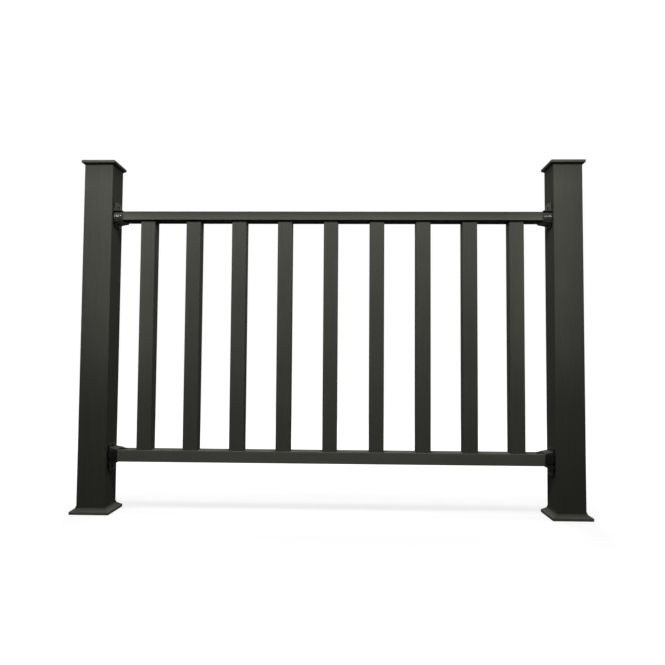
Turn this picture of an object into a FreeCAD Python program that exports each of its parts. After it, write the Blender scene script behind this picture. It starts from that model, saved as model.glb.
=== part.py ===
"""One bay of a composite deck railing: two capped posts, two routed rails, balusters and rail brackets.

Millimetres. The origin is the centre of the left post's foot on the deck, +X runs along the bay to the
right post, +Y points away from the viewer and +Z is up.
"""
import FreeCAD, Part
import os

Vector = FreeCAD.Vector
HALF_RIGHT_SINE = 0.5 ** 0.5
QUARTER_SAG = 1.0 - HALF_RIGHT_SINE

# Bay
post_spacing = 1420.0
guard_height = 914.0
post_rise = 153.0
toe_gap = 152.0

# Posts
post_width = 87.0
post_wall = 9.0
post_corner_radius = 2.5

# Post caps
cap_overhang = 8.0
cap_fascia = 9.0
cap_nose_radius = 2.5
cap_cove_rise = 4.0
cap_cove_sag = 0.6
cap_lip = 0.5
cap_crown_rise = 9.0
cap_plate = 6.0
cap_corner_radius = 2.5

# Post skirts
skirt_overhang = 16.0
skirt_fascia = 9.5
skirt_nose_radius = 3.5
skirt_slope_rise = 5.0
skirt_cove_width = 4.6
skirt_cove_rise = 8.0
skirt_cove_sag = 1.6
skirt_lip = 0.6
skirt_wall = 3.0
skirt_corner_radius = 3.0

# Post anchors
anchor_plate = 6.0
anchor_core_wall = 3.0
anchor_core_height = 250.0
anchor_hole_radius = 4.0
anchor_hole_inset = 8.0

# Rails
rail_wall = 5.0
rail_edge_radius = 2.0
top_rail_height = 27.0
bottom_rail_height = 35.0

# Balusters
baluster_width = 44.0
baluster_wall = 6.0
baluster_pitch = 140.5
baluster_corner_radius = 2.0

# Rail brackets
bracket_plate = 4.0
bracket_wall = 2.5
bracket_reach = 27.0
bracket_bulge = 4.5
bracket_groove = 5.5
bracket_groove_wall = 1.0
bracket_edge_break = 1.0
lip_root = 8.0
lip_mouth = 2.0
lip_corner_radius = 3.0
inner_lip_root = 4.0
ear_width = 56.0
ear_root_radius = 5.0
outer_ear_height = 22.0
outer_ear_radius = 12.0
inner_ear_height = 12.0
inner_ear_radius = 7.0
screw_hole_radius = 2.4
screw_seat_radius = 5.0
tongue_width = 28.0
tongue_thickness = 1.8
tongue_reach = 48.0
boss_radius = 10.0
boss_height = 1.2

# Clearances
sleeve_clearance = 0.3
core_clearance = 1.0
plate_clearance = 0.3
mortise_clearance = 0.3
tenon_clearance = 4.0
rail_cavity_clearance = 1.0
socket_clearance = 0.3
tongue_to_baluster = 10.0


def box_between(low, high):
    """Box from its lowest to its highest corner."""
    size = [b - a for a, b in zip(low, high)]
    return Part.makeBox(*size, Vector(*low))


def edges_along(shape, direction):
    """Straight edges of a shape that run along a direction."""
    chosen = []
    for edge in shape.Edges:
        run = edge.tangentAt(edge.FirstParameter)
        if edge.Curve.TypeId == "Part::GeomLine" and abs(run.dot(direction)) > 0.999:
            chosen.append(edge)
    return chosen


def rounded_bar(low, high, direction, radius):
    """Bar between two corners with the four edges along its length rounded."""
    bar = box_between(low, high)
    return bar.makeFillet(radius, edges_along(bar, direction))


def square_bar(half_width, z_low, z_high, radius):
    """Upright square bar about the Z axis with rounded corners."""
    low = (-half_width, -half_width, z_low)
    high = (half_width, half_width, z_high)
    return rounded_bar(low, high, Vector(0, 0, 1), radius)


def square_moulding(half_section):
    """Solid with a square plan whose half-width follows a profile edge list in the XZ plane.

    The edges run from the axis at the bottom to the axis at the top. The same section runs both ways and
    the two runs meet in mitres.
    """
    mirrored = []
    for edge in half_section:
        mirrored.append(edge.mirror(Vector(0, 0, 0), Vector(1, 0, 0)))
    outline = Part.Wire(Part.__sortEdges__(half_section + mirrored))
    reach = max(vertex.X for vertex in outline.Vertexes) + 1.0
    section = Part.Face(outline)
    section.translate(Vector(0, -reach, 0))
    along_y = section.extrude(Vector(0, 2.0 * reach, 0))
    along_x = along_y.rotated(Vector(0, 0, 0), Vector(0, 0, 1), 90)
    return along_y.common(along_x)


def line(start, end):
    """Straight profile edge between two (x, z) points."""
    return Part.makeLine(Vector(start[0], 0, start[1]), Vector(end[0], 0, end[1]))


def nose_arc(start, end):
    """Profile quarter round between two (x, z) points that bulges away from the axis."""
    corner_x = max(start[0], end[0])
    inner_x = min(start[0], end[0])
    inner_z = start[1] if start[0] == corner_x else end[1]
    outer_z = end[1] if start[0] == corner_x else start[1]
    middle_x = inner_x + (corner_x - inner_x) * HALF_RIGHT_SINE
    middle_z = inner_z + (outer_z - inner_z) * HALF_RIGHT_SINE
    a = Vector(start[0], 0, start[1])
    b = Vector(end[0], 0, end[1])
    return Part.Arc(a, Vector(middle_x, 0, middle_z), b).toShape()


def hollow_arc(start, end, sag):
    """Profile arc between two (x, z) points whose middle sinks by sag to the axis side of its chord."""
    a = Vector(start[0], 0, start[1])
    b = Vector(end[0], 0, end[1])
    chord = b - a
    across = Vector(chord.z, 0, -chord.x).normalize()
    if across.x > 0:
        across = across * -1
    middle = (a + b) * 0.5 + across * sag
    return Part.Arc(a, middle, b).toShape()


# Heights and half-widths that several pieces share
post_half = post_width / 2.0
post_height = guard_height + post_rise
post_foot = anchor_plate
post_top = post_height - cap_plate
sleeve_half = post_half + sleeve_clearance
sleeve_radius = post_corner_radius + sleeve_clearance
skirt_half = post_half + skirt_overhang
skirt_height = skirt_fascia + skirt_slope_rise + skirt_cove_rise
plate_half = skirt_half - skirt_wall - plate_clearance
rail_half = baluster_width / 2.0 + rail_cavity_clearance + rail_wall
rail_start = post_half + bracket_plate
rail_end = post_spacing - rail_start
top_rail_base = guard_height - top_rail_height
bottom_rail_top = toe_gap + bottom_rail_height
bay_clear = post_spacing - post_width
baluster_room = bay_clear - 2.0 * (tongue_reach + tongue_to_baluster) - baluster_width
baluster_count = int(baluster_room // baluster_pitch) + 1
first_baluster = (post_spacing - (baluster_count - 1) * baluster_pitch) / 2.0
baluster_centres = [first_baluster + index * baluster_pitch for index in range(baluster_count)]


def make_post():
    """Hollow square sleeve that stands on the anchor's plate."""
    sleeve = square_bar(post_half, post_foot, post_top, post_corner_radius)
    inside = post_half - post_wall
    bore = box_between((-inside, -inside, post_foot), (inside, inside, post_top))
    return sleeve.cut(bore)


def make_cap():
    """Lid with a low four-sided crown, a rim rounded above and below, and a cove that meets the post."""
    edge = post_half + cap_overhang
    shoulder = edge - cap_nose_radius
    neck = sleeve_half + cap_lip
    fascia_low = post_height - cap_fascia
    lower_nose = fascia_low + cap_nose_radius
    upper_nose = post_height - cap_nose_radius
    foot = fascia_low - cap_cove_rise
    section = [
        line((0, foot), (neck, foot)),
        hollow_arc((neck, foot), (shoulder, fascia_low), cap_cove_sag),
        nose_arc((shoulder, fascia_low), (edge, lower_nose)),
        line((edge, lower_nose), (edge, upper_nose)),
        nose_arc((edge, upper_nose), (shoulder, post_height)),
        line((shoulder, post_height), (0, post_height + cap_crown_rise)),
    ]
    lid = square_moulding(section)
    lid = lid.common(square_bar(edge, foot, post_height + cap_crown_rise, cap_corner_radius))
    return lid.cut(square_bar(sleeve_half, foot, post_top, sleeve_radius))


def make_skirt():
    """Base trim: a round-nosed flange that falls gently, a small cove up to the post, hollow underneath."""
    neck = sleeve_half + skirt_lip
    shoulder = skirt_half - skirt_nose_radius
    nose_low = skirt_fascia - skirt_nose_radius
    slope_end = neck + skirt_cove_width
    slope_top = skirt_fascia + skirt_slope_rise
    section = [
        line((0, 0), (skirt_half, 0)),
        line((skirt_half, 0), (skirt_half, nose_low)),
        nose_arc((skirt_half, nose_low), (shoulder, skirt_fascia)),
        line((shoulder, skirt_fascia), (slope_end, slope_top)),
        hollow_arc((slope_end, slope_top), (neck, skirt_height), skirt_cove_sag),
        line((neck, skirt_height), (0, skirt_height)),
    ]
    trim = square_moulding(section)
    trim = trim.common(square_bar(skirt_half, 0, skirt_height, skirt_corner_radius))
    hollow = skirt_half - skirt_wall
    plate_room = anchor_plate + plate_clearance
    roof = slope_top - skirt_wall
    hollow_section = [
        line((0, 0), (hollow, 0)),
        line((hollow, 0), (hollow, plate_room)),
        line((hollow, plate_room), (slope_end, roof)),
        line((slope_end, roof), (0, roof)),
    ]
    trim = trim.cut(square_bar(sleeve_half, 0, skirt_height, sleeve_radius))
    return trim.cut(square_moulding(hollow_section))


def make_anchor():
    """Foot plate with four corner holes and the tube core that the sleeve slides over."""
    plate = square_bar(plate_half, 0, anchor_plate, sleeve_radius)
    core_half = post_half - post_wall - core_clearance
    core_top = anchor_plate + anchor_core_height
    core = box_between((-core_half, -core_half, anchor_plate), (core_half, core_half, core_top))
    inside = core_half - anchor_core_wall
    core = core.cut(box_between((-inside, -inside, anchor_plate), (inside, inside, core_top)))
    hole_offset = plate_half - anchor_hole_inset
    for x in (-hole_offset, hole_offset):
        for y in (-hole_offset, hole_offset):
            plate = plate.cut(Part.makeCylinder(anchor_hole_radius, anchor_plate, Vector(x, y, 0)))
    return plate.fuse(core).removeSplitter()


def rail_tube(z_low, z_high):
    """Hollow rail between the two bracket plates."""
    low = (rail_start, -rail_half, z_low)
    high = (rail_end, rail_half, z_high)
    bar = rounded_bar(low, high, Vector(1, 0, 0), rail_edge_radius)
    low = (rail_start, -rail_half + rail_wall, z_low + rail_wall)
    high = (rail_end, rail_half - rail_wall, z_high - rail_wall)
    return bar.cut(box_between(low, high))


def routed(rail, z_low, z_high):
    """Rail with a square mortise for each baluster through the wall between two heights."""
    half = baluster_width / 2.0 + mortise_clearance
    for centre in baluster_centres:
        rail = rail.cut(box_between((centre - half, -half, z_low), (centre + half, half, z_high)))
    return rail


def make_top_rail():
    """Handrail, routed from below."""
    rail = rail_tube(top_rail_base, guard_height)
    return routed(rail, top_rail_base, top_rail_base + rail_wall)


def make_bottom_rail():
    """Lower rail, routed from above."""
    rail = rail_tube(toe_gap, bottom_rail_top)
    return routed(rail, bottom_rail_top - rail_wall, bottom_rail_top)


def make_baluster(centre):
    """Square tube that stands on the lower rail's floor and ends inside the handrail."""
    foot = toe_gap + rail_wall
    top = guard_height - rail_wall - tenon_clearance
    half = baluster_width / 2.0
    tube = square_bar(half, foot, top, baluster_corner_radius)
    inside = half - baluster_wall
    tube = tube.cut(box_between((-inside, -inside, foot), (inside, inside, top)))
    tube.translate(Vector(centre, 0, 0))
    return tube


def side_line(start, end):
    """Straight edge between two (y, z) points in the plane of the post's face."""
    return Part.makeLine(Vector(0, start[0], start[1]), Vector(0, end[0], end[1]))


def upright_prism(profile, half_width):
    """Solid whose section is a closed list of profile edges in the XZ plane, centred across Y."""
    face = Part.Face(Part.Wire(profile))
    face.translate(Vector(0, -half_width, 0))
    return face.extrude(Vector(0, 2.0 * half_width, 0))


def wedge_between(corners, half_width):
    """Solid whose section is the polygon of (x, z) corners, centred across Y."""
    profile = [line(start, end) for start, end in zip(corners, corners[1:] + corners[:1])]
    return upright_prism(profile, half_width)


def make_lip(z_base):
    """Wedge over the socket, as wide as the noses, that falls from the ear to the mouth."""
    corners = [
        (0, z_base),
        (bracket_reach, z_base),
        (bracket_reach, z_base + lip_mouth),
        (bracket_plate, z_base + lip_root),
        (0, z_base + lip_root),
    ]
    wedge = wedge_between(corners, rail_half + bracket_wall + bracket_bulge)
    upright = edges_along(wedge, Vector(0, 0, 1))
    mouth_corners = [edge for edge in upright if edge.BoundBox.XMin > bracket_reach - 0.01]
    return wedge.makeFillet(lip_corner_radius, mouth_corners)


def make_inner_lip(z_base):
    """Wedge on the tongue's side, between the noses, that runs out just inside the mouth."""
    corners = [
        (0, z_base),
        (bracket_reach - bracket_edge_break, z_base),
        (bracket_plate, z_base - inner_lip_root),
        (0, z_base - inner_lip_root),
    ]
    return wedge_between(corners, rail_half + bracket_wall)


def make_collar(rail_height):
    """Socket round the rail's end: bullnosed front and back, a grooved outer lip and a plain inner one."""
    half = rail_half + bracket_wall
    low = -rail_height / 2.0 - bracket_wall
    lip_low = rail_height / 2.0
    nose_top = lip_low - bracket_groove
    middle = (low + nose_top) / 2.0
    crest = Vector(0, half + bracket_bulge, middle)
    nose = Part.Arc(Vector(0, half, low), crest, Vector(0, half, nose_top)).toShape()
    section = [
        nose,
        side_line((half, nose_top), (-half, nose_top)),
        nose.mirror(Vector(0, 0, 0), Vector(0, 1, 0)),
        side_line((-half, low), (half, low)),
    ]
    outline = Part.Wire(Part.__sortEdges__(section))
    body = Part.Face(outline).extrude(Vector(bracket_reach, 0, 0))
    mouth = [edge for edge in body.Edges if edge.BoundBox.XMin > bracket_reach - 0.01]
    body = body.makeChamfer(bracket_edge_break, mouth)
    web_half = rail_half + socket_clearance + bracket_groove_wall
    web = box_between((0, -web_half, nose_top), (bracket_reach, web_half, lip_low))
    return body.fuse([web, make_lip(lip_low), make_inner_lip(low)])


def make_ear(z_base, z_root, z_top, radius):
    """Flat screw ear on the post with round corners, and a fillet at its root."""
    half = ear_width / 2.0
    root = bracket_plate + ear_root_radius
    plate = box_between((0, -half, z_base), (root, half, z_top))
    along = Vector(1, 0, 0)
    top_edges = [edge for edge in edges_along(plate, along) if edge.BoundBox.ZMin > z_top - 0.01]
    plate = plate.makeFillet(radius, top_edges)
    fillet_top = z_root + ear_root_radius
    profile = [
        line((0, z_base), (root, z_base)),
        line((root, z_base), (root, z_root)),
        hollow_arc((root, z_root), (bracket_plate, fillet_top), ear_root_radius * QUARTER_SAG),
        line((bracket_plate, fillet_top), (bracket_plate, z_top)),
        line((bracket_plate, z_top), (0, z_top)),
        line((0, z_top), (0, z_base)),
    ]
    screw_z = z_top - radius
    hole = Part.makeCylinder(screw_hole_radius, bracket_plate, Vector(0, 0, screw_z), along)
    seat = Part.makeCylinder(screw_seat_radius, root, Vector(bracket_plate, 0, screw_z), along)
    return plate.common(upright_prism(profile, half)).cut(hole.fuse(seat))


def make_tongue(z_seat):
    """Round-ended tongue under the rail, with a low boss round its screw hole."""
    end_radius = tongue_width / 2.0
    centre = tongue_reach - end_radius
    base = z_seat - tongue_thickness
    plate = box_between((0, -end_radius, base), (centre, end_radius, z_seat))
    end = Part.makeCylinder(end_radius, tongue_thickness, Vector(centre, 0, base))
    boss_base = base - boss_height
    boss = Part.makeCylinder(boss_radius, boss_height, Vector(centre, 0, boss_base))
    hole = Part.makeCylinder(screw_hole_radius, z_seat - boss_base, Vector(centre, 0, boss_base))
    return plate.fuse([end, boss]).cut(hole)


def make_bracket(z_low, z_high, tongue_up):
    """Cast rail bracket against the plane X = 0, reaching towards +X, with its tongue below or above."""
    rail_height = z_high - z_low
    half = rail_half + socket_clearance
    half_height = rail_height / 2.0 + socket_clearance
    lip_base = rail_height / 2.0
    lip_fall = (lip_root - lip_mouth) / (bracket_reach - bracket_plate)
    outer_root = lip_base + lip_root - lip_fall * ear_root_radius
    outer_top = lip_base + lip_root + outer_ear_height
    outer_ear = make_ear(lip_base, outer_root, outer_top, outer_ear_radius)
    inner_base = rail_height / 2.0 + bracket_wall
    inner_fall = inner_lip_root / (bracket_reach - bracket_edge_break - bracket_plate)
    inner_root = inner_base + inner_lip_root - inner_fall * ear_root_radius
    inner_top = inner_base + inner_lip_root + inner_ear_height
    inner_ear = make_ear(half_height, inner_root, inner_top, inner_ear_radius)
    inner_ear = inner_ear.mirror(Vector(0, 0, 0), Vector(0, 0, 1))
    body = make_collar(rail_height).fuse([outer_ear, inner_ear, make_tongue(-half_height)]).removeSplitter()
    socket = box_between((bracket_plate, -half, -half_height), (tongue_reach, half, half_height))
    body = body.cut(socket)
    if tongue_up:
        body = body.rotated(Vector(0, 0, 0), Vector(1, 0, 0), 180)
    return body.translated(Vector(0, 0, (z_low + z_high) / 2.0))


def place_left(shape):
    """Against the left post's inner face."""
    return shape.translated(Vector(post_half, 0, 0))


def place_right(shape):
    """Mirrored against the right post's inner face."""
    return place_left(shape).mirror(Vector(post_spacing / 2.0, 0, 0), Vector(1, 0, 0))


def build():
    """All pieces by name."""
    pieces = {}
    for side, x in (("left", 0.0), ("right", post_spacing)):
        shift = Vector(x, 0, 0)
        pieces[side + "_post"] = make_post().translated(shift)
        pieces[side + "_post_cap"] = make_cap().translated(shift)
        pieces[side + "_post_skirt"] = make_skirt().translated(shift)
        pieces[side + "_post_anchor"] = make_anchor().translated(shift)
    pieces["top_rail"] = make_top_rail()
    pieces["bottom_rail"] = make_bottom_rail()
    for number, centre in enumerate(baluster_centres, start=1):
        pieces["baluster_%d" % number] = make_baluster(centre)
    top_bracket = make_bracket(top_rail_base, guard_height, False)
    bottom_bracket = make_bracket(toe_gap, bottom_rail_top, True)
    pieces["top_left_bracket"] = place_left(top_bracket)
    pieces["top_right_bracket"] = place_right(top_bracket)
    pieces["bottom_left_bracket"] = place_left(bottom_bracket)
    pieces["bottom_right_bracket"] = place_right(bottom_bracket)
    return pieces


os.makedirs("parts", exist_ok=True)
for name, shape in build().items():
    shape.exportStep(os.path.join("parts", name + ".step"))
    print(name, shape.isValid(), len(shape.Solids), round(shape.Volume / 1000.0, 1), "cm3")
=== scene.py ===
"""Looks for the deck railing bay: materials, bracket screws, floor, light and camera. Metres."""
import math
from collections import namedtuple

import bmesh
import bpy
from mathutils import Matrix, Vector


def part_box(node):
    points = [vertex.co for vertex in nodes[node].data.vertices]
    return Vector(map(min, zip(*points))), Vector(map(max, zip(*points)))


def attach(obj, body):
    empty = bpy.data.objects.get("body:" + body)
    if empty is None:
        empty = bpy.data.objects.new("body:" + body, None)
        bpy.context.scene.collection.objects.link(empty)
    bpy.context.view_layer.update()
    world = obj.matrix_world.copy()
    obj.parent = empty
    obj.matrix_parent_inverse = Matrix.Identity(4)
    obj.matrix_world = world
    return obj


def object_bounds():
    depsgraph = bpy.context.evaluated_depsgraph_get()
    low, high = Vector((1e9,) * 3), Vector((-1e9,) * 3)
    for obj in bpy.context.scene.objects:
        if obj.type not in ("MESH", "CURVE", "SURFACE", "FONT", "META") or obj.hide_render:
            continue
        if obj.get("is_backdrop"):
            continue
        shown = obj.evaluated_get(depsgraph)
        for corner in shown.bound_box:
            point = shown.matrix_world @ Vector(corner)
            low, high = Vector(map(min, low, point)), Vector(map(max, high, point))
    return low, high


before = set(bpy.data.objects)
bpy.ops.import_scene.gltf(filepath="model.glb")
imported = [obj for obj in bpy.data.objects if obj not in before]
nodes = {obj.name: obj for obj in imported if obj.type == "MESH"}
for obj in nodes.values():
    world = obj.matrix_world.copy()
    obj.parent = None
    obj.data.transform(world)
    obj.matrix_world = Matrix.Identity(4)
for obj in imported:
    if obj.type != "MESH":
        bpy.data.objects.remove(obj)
cad_low, cad_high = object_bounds()

# Photograph's camera
IMAGE_SIDE_PX = 665.0
FOCAL_PX = 623.508
SENSOR_MM = 36.0
CAMERA_PLACE = (0.763885, -1.904107, 0.453433)
CAMERA_YAW = 0.02502
CAMERA_PITCH = 0.04879
CAMERA_ROLL = -0.00698

# Colours, linear
WHITE = (1.0, 1.0, 1.0)
POST_CHARCOAL = (0.064, 0.064, 0.0555)
BALUSTER_CHARCOAL = (0.076, 0.076, 0.0655)
TOP_RAIL_CHARCOAL = (0.102, 0.102, 0.0885)
BOTTOM_RAIL_CHARCOAL = (0.122, 0.122, 0.1055)
CAP_CHARCOAL = (0.076, 0.076, 0.066)
SKIRT_CHARCOAL = (0.092, 0.092, 0.0795)
BRACKET_CHARCOAL = (0.055, 0.055, 0.048)
# Near black painted on the bracket noses as a dark reflection
BRACKET_NOSE_PAINTED_DARK = (0.022, 0.022, 0.0195)
ZINC = (0.36, 0.37, 0.385)

# Specular levels
COMPOSITE_SPECULAR = 0.006
TRIM_SPECULAR = 0.02
COAT_SPECULAR = 0.06

# Bevel radii that find the worn edges
COMPOSITE_WEAR = 0.0035
TRIM_WEAR = 0.0025
COAT_WEAR = 0.0012

# Noise scales along X, Y and Z for grain that runs up a piece or along the bay
UPRIGHT_STREAKS = (520.0, 520.0, 9.0)
LENGTHWISE_STREAKS = (9.0, 520.0, 520.0)

# Tint that runs from one share of a colour to another between two heights
HeightTint = namedtuple("HeightTint", "low_z high_z low_share high_share")

# Relief made from a node's output
Bump = namedtuple("Bump", "height strength distance")


def shaded(colour, share):
    """Colour scaled by a share, with its alpha."""
    return (colour[0] * share, colour[1] * share, colour[2] * share, 1.0)


class Graph:
    """A node tree, with short calls for the nodes used here."""

    def __init__(self, tree):
        self.tree = tree

    def node(self, kind, **settings):
        made = self.tree.nodes.new(kind)
        for key, value in settings.items():
            setattr(made, key, value)
        return made

    def link(self, source, target):
        self.tree.links.new(source, target)

    def place(self, scale=(1.0, 1.0, 1.0)):
        """Object coordinates scaled along each axis, so a noise streaks along the smallest scale."""
        coordinates = self.node("ShaderNodeTexCoord")
        mapping = self.node("ShaderNodeMapping")
        mapping.inputs["Scale"].default_value = scale
        self.link(coordinates.outputs["Object"], mapping.inputs["Vector"])
        return mapping.outputs["Vector"]

    def noise(self, vector, scale, detail=4.0, roughness=0.55):
        made = self.node("ShaderNodeTexNoise")
        made.inputs["Scale"].default_value = scale
        made.inputs["Detail"].default_value = detail
        made.inputs["Roughness"].default_value = roughness
        self.link(vector, made.inputs["Vector"])
        return made.outputs["Fac"]

    def ramp(self, factor, stops):
        """Colour ramp from (position, colour) stops."""
        made = self.node("ShaderNodeValToRGB")
        elements = made.color_ramp.elements
        while len(elements) < len(stops):
            elements.new(0.5)
        for element, (position, colour) in zip(elements, stops):
            element.position = position
            element.color = colour
        self.link(factor, made.inputs["Fac"])
        return made.outputs["Color"]

    def spread(self, value, low, high, from_low=0.3, from_high=0.7):
        """Value remapped from one range, a noise's middle one by default, to low and high."""
        made = self.node("ShaderNodeMapRange")
        made.inputs["From Min"].default_value = from_low
        made.inputs["From Max"].default_value = from_high
        made.inputs["To Min"].default_value = low
        made.inputs["To Max"].default_value = high
        self.link(value, made.inputs["Value"])
        return made.outputs["Result"]

    def maths(self, operation, first, second):
        made = self.node("ShaderNodeMath", operation=operation)
        self.link(first, made.inputs[0])
        self.link(second, made.inputs[1])
        return made.outputs["Value"]

    def tint(self, factor, low_share, high_share, start=0.0, end=1.0):
        """Grey tint that runs from one share to another as a factor goes from start to end."""
        return self.ramp(factor, [(start, shaded(WHITE, low_share)), (end, shaded(WHITE, high_share))])

    def height_tint(self, entry):
        """Grey tint for a HeightTint."""
        coordinates = self.node("ShaderNodeTexCoord")
        parts = self.node("ShaderNodeSeparateXYZ")
        self.link(coordinates.outputs["Object"], parts.inputs["Vector"])
        rise = self.spread(parts.outputs["Z"], 0.0, 1.0, from_low=entry.low_z, from_high=entry.high_z)
        return self.tint(rise, entry.low_share, entry.high_share)

    def tinted(self, colour, tints):
        """Colour multiplied by each tint in turn."""
        for tint in tints:
            made = self.node("ShaderNodeMix", data_type="RGBA", blend_type="MULTIPLY")
            made.inputs["Factor"].default_value = 1.0
            self.link(colour, made.inputs["A"])
            self.link(tint, made.inputs["B"])
            colour = made.outputs["Result"]
        return colour

    def facing_across(self):
        """1 where a surface faces along Y, either way, and 0 where it turns away."""
        surface = self.node("ShaderNodeNewGeometry")
        parts = self.node("ShaderNodeSeparateXYZ")
        self.link(surface.outputs["Normal"], parts.inputs["Vector"])
        facing = self.node("ShaderNodeMath", operation="ABSOLUTE")
        self.link(parts.outputs["Y"], facing.inputs[0])
        return facing.outputs["Value"]

    def edges(self, radius):
        """1 on convex edges and in corners, 0 on flats, from how far a bevel would turn the normal."""
        bevel = self.node("ShaderNodeBevel", samples=6)
        bevel.inputs["Radius"].default_value = radius
        surface = self.node("ShaderNodeNewGeometry")
        turn = self.node("ShaderNodeVectorMath", operation="DOT_PRODUCT")
        self.link(bevel.outputs["Normal"], turn.inputs[0])
        self.link(surface.outputs["Normal"], turn.inputs[1])
        return self.spread(turn.outputs["Value"], 1.0, 0.0, from_low=0.86, from_high=0.99)

    def bumped(self, bumps, target):
        """Chain of bumps into a normal input."""
        normal = None
        for bump in bumps:
            made = self.node("ShaderNodeBump")
            made.inputs["Strength"].default_value = bump.strength
            made.inputs["Distance"].default_value = bump.distance
            self.link(bump.height, made.inputs["Height"])
            if normal is not None:
                self.link(normal, made.inputs["Normal"])
            normal = made.outputs["Normal"]
        self.link(normal, target)

    def by_ray(self, unseen, seen, output):
        """One shader for rays that see the scene, straight or in gloss or glass, and one for its light."""
        path = self.node("ShaderNodeLightPath")
        seeing = self.maths("MAXIMUM", path.outputs["Is Camera Ray"], path.outputs["Is Glossy Ray"])
        seeing = self.maths("MAXIMUM", seeing, path.outputs["Is Transmission Ray"])
        choice = self.node("ShaderNodeMixShader")
        self.link(seeing, choice.inputs["Fac"])
        self.link(unseen, choice.inputs[1])
        self.link(seen, choice.inputs[2])
        self.link(choice.outputs["Shader"], output.inputs["Surface"])


def new_surface(name):
    """A material, its graph and its shader's inputs."""
    material = bpy.data.materials.new(name)
    material.use_nodes = True
    shader = material.node_tree.nodes["Principled BSDF"]
    return material, Graph(material.node_tree), shader.inputs


def composite_material(name, colour, streak_scale, tints_by_height=()):
    """Matte capped composite: a faint brushed grain along its length, flecks, rubbed edges, height tints such
    as painted shade.
    """
    material, g, inputs = new_surface(name)
    along = g.place(streak_scale)
    even = g.place()
    streaks = g.noise(along, scale=1.0, detail=5.0, roughness=0.62)
    fibres = g.noise(along, scale=3.7, detail=3.0, roughness=0.5)
    clouds = g.noise(even, scale=5.0, detail=2.0)
    flecks = g.noise(even, scale=900.0, detail=2.0, roughness=0.6)
    grain_stops = [
        (0.30, shaded(colour, 0.90)),
        (0.52, shaded(colour, 1.00)),
        (0.74, shaded(colour, 1.10)),
    ]
    tints = [
        g.tint(clouds, low_share=0.95, high_share=1.05, start=0.3, end=0.7),
        g.tint(flecks, low_share=0.93, high_share=1.05, start=0.35, end=0.65),
        g.tint(g.edges(COMPOSITE_WEAR), low_share=1.0, high_share=1.22),
    ]
    tints += [g.height_tint(entry) for entry in tints_by_height]
    bumps = [
        Bump(streaks, strength=0.08, distance=0.0003),
        Bump(fibres, strength=0.08, distance=0.0002),
        Bump(flecks, strength=0.06, distance=0.0001),
    ]
    g.link(g.tinted(g.ramp(streaks, grain_stops), tints), inputs["Base Color"])
    g.link(g.spread(streaks, low=0.78, high=0.92), inputs["Roughness"])
    inputs["Specular IOR Level"].default_value = COMPOSITE_SPECULAR
    g.bumped(bumps, inputs["Normal"])
    return material


def trim_material(name, colour, tints_by_height):
    """Moulded trim: a fine even tooth, slightly polished edges, height tints of painted light and shade."""
    material, g, inputs = new_surface(name)
    even = g.place()
    tooth = g.noise(even, scale=700.0, detail=3.0, roughness=0.6)
    clouds = g.noise(even, scale=9.0, detail=3.0)
    cloud_stops = [
        (0.30, shaded(colour, 0.93)),
        (0.50, shaded(colour, 1.00)),
        (0.72, shaded(colour, 1.07)),
    ]
    tints = [
        g.tint(tooth, low_share=0.94, high_share=1.05, start=0.35, end=0.65),
        g.tint(g.edges(TRIM_WEAR), low_share=1.0, high_share=1.18),
    ]
    tints += [g.height_tint(entry) for entry in tints_by_height]
    g.link(g.tinted(g.ramp(clouds, cloud_stops), tints), inputs["Base Color"])
    g.link(g.spread(tooth, low=0.66, high=0.82), inputs["Roughness"])
    inputs["Specular IOR Level"].default_value = TRIM_SPECULAR
    g.bumped([Bump(tooth, strength=0.10, distance=0.00015)], inputs["Normal"])
    return material


def coat_material(name, tints_by_height=()):
    """Powder coat with a faint orange peel: glossy noses painted near black as a dark reflection, dull
    charcoal elsewhere, height tints of painted light and shade.
    """
    material, g, inputs = new_surface(name)
    even = g.place()
    peel = g.noise(even, scale=420.0, detail=2.0, roughness=0.45)
    haze = g.noise(even, scale=60.0, detail=3.0)
    facing = g.facing_across()
    # Faces along Y, the noses, take the painted dark reflection; the rest keep the coat's charcoal
    charcoal_and_painted_dark_stops = [
        (0.60, shaded(BRACKET_CHARCOAL, 1.0)),
        (0.85, shaded(BRACKET_NOSE_PAINTED_DARK, 1.0)),
    ]
    tints = [
        g.tint(haze, low_share=0.88, high_share=1.15, start=0.35, end=0.7),
        g.tint(g.edges(COAT_WEAR), low_share=1.0, high_share=1.25),
    ]
    tints += [g.height_tint(entry) for entry in tints_by_height]
    dullness = g.spread(facing, low=0.78, high=0.08, from_low=0.80, from_high=0.95)
    smear = g.spread(haze, low=0.0, high=0.04)
    g.link(g.tinted(g.ramp(facing, charcoal_and_painted_dark_stops), tints), inputs["Base Color"])
    g.link(g.maths("ADD", dullness, smear), inputs["Roughness"])
    inputs["Specular IOR Level"].default_value = COAT_SPECULAR
    g.bumped([Bump(peel, strength=0.04, distance=0.0001)], inputs["Normal"])
    return material


def zinc_material():
    """Hot-dip galvanised steel with its spangle."""
    material, g, inputs = new_surface("galvanised_steel")
    even = g.place()
    spangle = g.node("ShaderNodeTexVoronoi")
    spangle.inputs["Scale"].default_value = 160.0
    g.link(even, spangle.inputs["Vector"])
    split = g.node("ShaderNodeSeparateColor")
    g.link(spangle.outputs["Color"], split.inputs["Color"])
    facet = split.outputs["Red"]
    facet_stops = [
        (0.0, shaded(ZINC, 0.82)),
        (1.0, shaded(ZINC, 1.18)),
    ]
    ripple = g.noise(even, scale=300.0)
    g.link(g.ramp(facet, facet_stops), inputs["Base Color"])
    g.link(g.spread(facet, low=0.30, high=0.50, from_low=0.0, from_high=1.0), inputs["Roughness"])
    inputs["Metallic"].default_value = 1.0
    g.bumped([Bump(ripple, strength=0.05, distance=0.0002)], inputs["Normal"])
    return material
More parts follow.
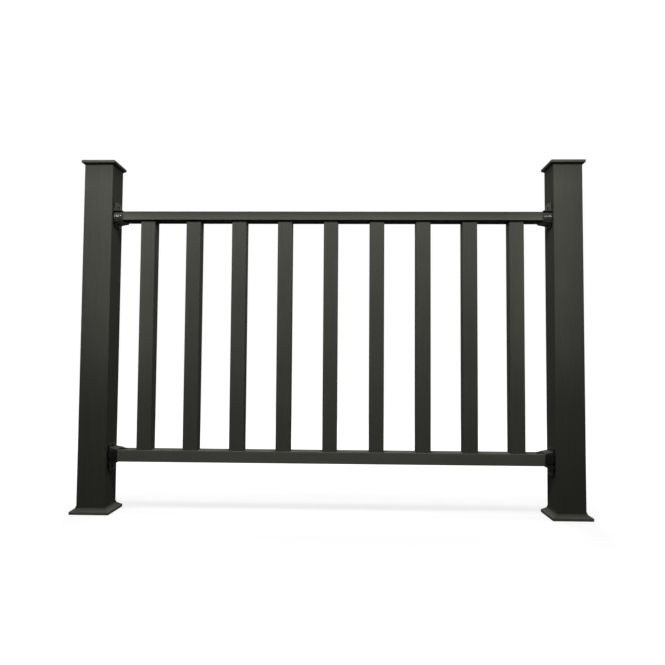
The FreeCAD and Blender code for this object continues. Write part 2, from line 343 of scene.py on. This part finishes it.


# Painted shade and light, and a darker handrail top, by height
rail_low, rail_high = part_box("top_rail")
lower_rail_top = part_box("bottom_rail")[1].z
cap_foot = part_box("left_post_cap")[0].z
# Handrail darker towards its top
RAIL_DARKER_TO_TOP = HeightTint(rail_low.z, rail_high.z, low_share=1.0, high_share=0.5)
# Painted shadow of the cap on the top of the post
PAINTED_SHADOW_UNDER_CAP = HeightTint(cap_foot - 0.06, cap_foot, low_share=1.0, high_share=0.8)
# Painted shade under the cap's rim
PAINTED_SHADE_UNDER_RIM = HeightTint(cap_foot + 0.0035, cap_foot + 0.0055, low_share=0.2, high_share=1.0)
# Painted shade on the handrail's underside
PAINTED_SHADE_UNDER_RAIL = HeightTint(rail_low.z + 0.0005, rail_low.z + 0.0020, low_share=0.3, high_share=1.0)
# Painted shade on the upper brackets below the handrail, and painted light above it
PAINTED_SHADE_AND_LIGHT_AT_COLLAR = HeightTint(rail_low.z - 0.007, rail_low.z - 0.002, low_share=0.25, high_share=1.4)
# Painted shade on the lower brackets, darkest below the lower rail's top
PAINTED_SHADE_ON_LOW_COLLAR = HeightTint(lower_rail_top - 0.003, lower_rail_top + 0.002, low_share=0.25, high_share=0.65)
# Painted light on the skirt's foot, and painted shade on its upper part
PAINTED_LIGHT_AND_SHADE_ON_SKIRT = HeightTint(0.003, 0.019, low_share=1.5, high_share=0.5)

# Materials by a part of the node's name, where the last one that fits a name is used
handrail_tints = [RAIL_DARKER_TO_TOP, PAINTED_SHADE_UNDER_RAIL]
# Upper and lower brackets get copies of one coat with different painted shade and light
upper_coat = coat_material("black_powder_coat", [PAINTED_SHADE_AND_LIGHT_AT_COLLAR])
lower_coat = coat_material("black_powder_coat_low", [PAINTED_SHADE_ON_LOW_COLLAR])
screw_coat = coat_material("black_screw_coat")
MATERIALS = {
    "post": composite_material("composite_post", POST_CHARCOAL, UPRIGHT_STREAKS, [PAINTED_SHADOW_UNDER_CAP]),
    "baluster": composite_material("composite_baluster", BALUSTER_CHARCOAL, UPRIGHT_STREAKS),
    "top_rail": composite_material(
        "composite_handrail", TOP_RAIL_CHARCOAL, LENGTHWISE_STREAKS, handrail_tints
    ),
    "bottom_rail": composite_material("composite_rail", BOTTOM_RAIL_CHARCOAL, LENGTHWISE_STREAKS),
    "cap": trim_material("moulded_cap", CAP_CHARCOAL, [PAINTED_SHADE_UNDER_RIM]),
    "skirt": trim_material("moulded_skirt", SKIRT_CHARCOAL, [PAINTED_LIGHT_AND_SHADE_ON_SKIRT]),
    "top_left_bracket": upper_coat,
    "top_right_bracket": upper_coat,
    "bottom_left_bracket": lower_coat,
    "bottom_right_bracket": lower_coat,
    "anchor": zinc_material(),
}

for name, node in nodes.items():
    kinds = [kind for kind in MATERIALS if kind in name]
    node.data.materials.clear()
    node.data.materials.append(MATERIALS[kinds[-1]])

# Bracket screws, with a head's form in shares of its radius and height
SCREW_SIDES = 48
SCREW_LOBES = 6
HEAD_STEPS = 6
HEAD_FOOT = 0.94
HEAD_RIM = 0.20
HEAD_FLAT = 0.60
SOCKET_RADIUS = 0.42
SOCKET_LOBE = 0.07
SOCKET_EDGE = 0.96
SOCKET_TAPER = 0.94
SOCKET_DEPTH = 0.62


def head_levels(head_radius, head_height):
    """Rings of a button head, from its foot over its dome and down its socket: lobe depth, radius, height."""
    levels = [(0.0, head_radius * HEAD_FOOT, 0.0)]
    for step in range(HEAD_STEPS + 1):
        angle = 0.5 * math.pi * step / HEAD_STEPS
        radius = head_radius * (HEAD_FLAT + (1.0 - HEAD_FLAT) * math.cos(angle))
        rise = head_height * (HEAD_RIM + (1.0 - HEAD_RIM) * math.sin(angle))
        levels.append((0.0, radius, rise))
    lobe = head_radius * SOCKET_LOBE
    mean = head_radius * SOCKET_RADIUS
    levels.append((lobe, mean + lobe, head_height))
    levels.append((lobe, mean, head_height * SOCKET_EDGE))
    levels.append((lobe, mean * SOCKET_TAPER, head_height - head_height * SOCKET_DEPTH))
    return levels


def screw_mesh(name, head_radius, head_height):
    """Button-head screw with a six-lobed socket, its seat on z = 0 and its axis along +Z."""
    mesh = bmesh.new()
    loops = []
    for lobe, radius, z in head_levels(head_radius, head_height):
        loop = []
        for i in range(SCREW_SIDES):
            angle = 2.0 * math.pi * i / SCREW_SIDES
            reach = radius + lobe * math.cos(SCREW_LOBES * angle)
            loop.append(mesh.verts.new((reach * math.cos(angle), reach * math.sin(angle), z)))
        loops.append(loop)
    for lower, upper in zip(loops, loops[1:]):
        for i in range(SCREW_SIDES):
            j = (i + 1) % SCREW_SIDES
            mesh.faces.new((lower[i], lower[j], upper[j], upper[i]))
    mesh.faces.new(loops[-1])
    mesh.faces.new(tuple(reversed(loops[0])))
    mesh.normal_update()
    data = bpy.data.meshes.new(name)
    mesh.to_mesh(data)
    mesh.free()
    for face in data.polygons:
        face.use_smooth = True
    data.materials.append(screw_coat)
    return data


EAR_SCREW = screw_mesh("ear_screw", head_radius=0.0042, head_height=0.0022)
BOSS_SCREW = screw_mesh("boss_screw", head_radius=0.0058, head_height=0.0014)

# Where a bracket's screws sit in its box
BRACKET_PLATE = 0.004
OUTER_EAR_RADIUS = 0.012
INNER_EAR_RADIUS = 0.007
TONGUE_HALF_WIDTH = 0.014
BOSS_INSIDE_EAR = 0.0152

# Turns in radians, from one bracket to the next and from a bracket's outer screw to its other two
BRACKET_TURN = 0.7
INNER_TURN = 0.5
BOSS_TURN = 0.9


def add_screw(name, data, place, axis, turn):
    """Screw with its seat at a place and its head along an axis."""
    piece = bpy.data.objects.new(name, data)
    bpy.context.scene.collection.objects.link(piece)
    aim = Vector(axis).to_track_quat("Z", "Y").to_matrix().to_4x4()
    piece.matrix_world = Matrix.Translation(place) @ aim @ Matrix.Rotation(turn, 4, "Z")
    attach(piece, "root")


turn = 0.0
for side, inward in (("left", 1.0), ("right", -1.0)):
    for level, outer in (("top", 1.0), ("bottom", -1.0)):
        bracket = "%s_%s_bracket" % (level, side)
        low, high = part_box(bracket)
        post_face = low.x if inward > 0 else high.x
        tongue_end = high.x if inward > 0 else low.x
        outer_end = high.z if outer > 0 else low.z
        inner_end = low.z if outer > 0 else high.z
        ear_x = post_face + inward * BRACKET_PLATE
        boss_x = tongue_end - inward * TONGUE_HALF_WIDTH
        outer_seat = (ear_x, 0.0, outer_end - outer * OUTER_EAR_RADIUS)
        inner_seat = (ear_x, 0.0, inner_end + outer * INNER_EAR_RADIUS)
        boss_seat = (boss_x, 0.0, inner_end + outer * BOSS_INSIDE_EAR)
        out_of_post = (inward, 0.0, 0.0)
        out_of_boss = (0.0, 0.0, -outer)
        add_screw(bracket + "_outer_screw", EAR_SCREW, outer_seat, out_of_post, turn)
        add_screw(bracket + "_inner_screw", EAR_SCREW, inner_seat, out_of_post, turn + INNER_TURN)
        add_screw(bracket + "_boss_screw", BOSS_SCREW, boss_seat, out_of_boss, turn + BOSS_TURN)
        turn += BRACKET_TURN

# Floor: white to the viewer, less so near the railing, where the lamps make up the rest and its shadow shows
FLOOR_HALF = 30.0
FLOOR_DROP = 0.0005
FLOOR_GLOW = (0.70, 1.0)
FLOOR_PAINT = 0.42
FLOOR_BOUNCE = 0.03
SHADOW_REACH = (0.25, 1.05)
SHADOW_STRETCH = (0.4, 1.0, 1.0)


def floor_material():
    """Pale paint that glows to the viewer and sends little light back to the railing."""
    paint = bpy.data.materials.new("pale_floor")
    paint.use_nodes = True
    paint.node_tree.nodes.clear()
    g = Graph(paint.node_tree)
    distance = g.node("ShaderNodeVectorMath", operation="LENGTH")
    g.link(g.place(SHADOW_STRETCH), distance.inputs[0])
    glow = g.node("ShaderNodeEmission")
    g.link(g.spread(distance.outputs["Value"], *FLOOR_GLOW, *SHADOW_REACH), glow.inputs["Strength"])
    lit = g.node("ShaderNodeBsdfDiffuse")
    lit.inputs["Color"].default_value = shaded(WHITE, FLOOR_PAINT)
    pale = g.node("ShaderNodeAddShader")
    g.link(glow.outputs["Emission"], pale.inputs[0])
    g.link(lit.outputs["BSDF"], pale.inputs[1])
    bounce = g.node("ShaderNodeBsdfDiffuse")
    bounce.inputs["Color"].default_value = shaded(WHITE, FLOOR_BOUNCE)
    g.by_ray(bounce.outputs["BSDF"], pale.outputs["Shader"], g.node("ShaderNodeOutputMaterial"))
    return paint


corners = [
    (-FLOOR_HALF, -FLOOR_HALF, 0.0),
    (FLOOR_HALF, -FLOOR_HALF, 0.0),
    (FLOOR_HALF, FLOOR_HALF, 0.0),
    (-FLOOR_HALF, FLOOR_HALF, 0.0),
]
floor_mesh = bpy.data.meshes.new("floor")
floor_mesh.from_pydata(corners, [], [(0, 1, 2, 3)])
floor_mesh.materials.append(floor_material())
floor = bpy.data.objects.new("floor", floor_mesh)
floor.location = (0.5 * (cad_low[0] + cad_high[0]), 0.0, -FLOOR_DROP)
bpy.context.scene.collection.objects.link(floor)
floor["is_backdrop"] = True

# World: white to the viewer, a faint fill for the railing
WORLD_FILL = 0.05
world = bpy.data.worlds.new("studio")
bpy.context.scene.world = world
world.use_nodes = True
world.node_tree.nodes.clear()
g = Graph(world.node_tree)
fill = g.node("ShaderNodeBackground")
fill.inputs["Color"].default_value = shaded(WHITE, 1.0)
fill.inputs["Strength"].default_value = WORLD_FILL
white = g.node("ShaderNodeBackground")
white.inputs["Color"].default_value = shaded(WHITE, 1.0)
white.inputs["Strength"].default_value = 1.0
g.by_ray(fill.outputs["Background"], white.outputs["Background"], g.node("ShaderNodeOutputWorld"))

# Lamps
STUDIO_SPREAD = 110.0
END_DISTANCE = 1.3
END_LAMP_Z = 0.45
END_AIM_Z = 0.55
NOSE_FROM_POST = 0.0155
NOSE_TILT = math.radians(5.0)


def softbox(name, place, target, width, height, watts, spread):
    """Area lamp that faces a point, with a grid that keeps its light within a spread in degrees."""
    lamp = bpy.data.lights.new(name, "AREA")
    lamp.shape = "RECTANGLE"
    lamp.size = width
    lamp.size_y = height
    lamp.energy = watts
    lamp.spread = math.radians(spread)
    made = bpy.data.objects.new(name, lamp)
    made.location = place
    made.rotation_mode = "QUATERNION"
    made.rotation_quaternion = (Vector(target) - Vector(place)).to_track_quat("-Z", "Y")
    made.visible_camera = False
    bpy.context.scene.collection.objects.link(made)


def end_light(name, end_x, away):
    """Narrow softbox off one end of the bay, for the post's outer face, which shades the rest."""
    place = (end_x + away * END_DISTANCE, 0.0, END_LAMP_Z)
    target = (end_x, 0.0, END_AIM_Z)
    softbox(name, place, target, width=0.08, height=0.7, watts=5.0, spread=STUDIO_SPREAD)


def nose_light(name, nose_x):
    """Small gridded softbox that the photograph's camera sees mirrored just above a bracket nose's middle."""
    nose = Vector((nose_x, rail_low.y, 0.5 * (rail_low.z + rail_high.z)))
    normal = Vector((0.0, -math.cos(NOSE_TILT), math.sin(NOSE_TILT)))
    place = nose - (Vector(CAMERA_PLACE) - nose).reflect(normal)
    softbox(name, place, nose, width=0.10, height=0.80, watts=0.16, spread=9.0)


softbox(
    "key",
    place=(0.56, -0.85, 1.72),
    target=(0.60, 0.0, 0.98),
    width=2.2,
    height=0.4,
    watts=13.6,
    spread=STUDIO_SPREAD,
)
softbox(
    "back",
    place=(0.72, 3.5, 1.9),
    target=(0.70, 0.0, 0.6),
    width=2.4,
    height=1.6,
    watts=29.0,
    spread=STUDIO_SPREAD,
)
end_light("left_end", cad_low[0], -1.0)
end_light("right_end", cad_high[0], 1.0)
nose_light("left_nose_light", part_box("left_post")[1].x + NOSE_FROM_POST)
nose_light("right_nose_light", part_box("right_post")[0].x - NOSE_FROM_POST)

# Camera
camera_data = bpy.data.cameras.new("camera")
camera_data.sensor_width = SENSOR_MM
camera_data.lens = FOCAL_PX / IMAGE_SIDE_PX * SENSOR_MM
camera_data.clip_start = 0.05
camera_data.clip_end = 200.0
camera = bpy.data.objects.new("camera", camera_data)
yaw = Matrix.Rotation(CAMERA_YAW, 3, "Z")
pitch = Matrix.Rotation(CAMERA_PITCH, 3, "X")
roll = Matrix.Rotation(CAMERA_ROLL, 3, "Y")
turned = yaw @ pitch @ roll
axes = Matrix((turned.col[0], turned.col[2], -turned.col[1])).transposed()
camera.matrix_world = Matrix.Translation(CAMERA_PLACE) @ axes.to_4x4()
bpy.context.scene.collection.objects.link(camera)
bpy.context.scene.camera = camera
bpy.context.scene.view_settings.view_transform = "Standard"

low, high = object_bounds()
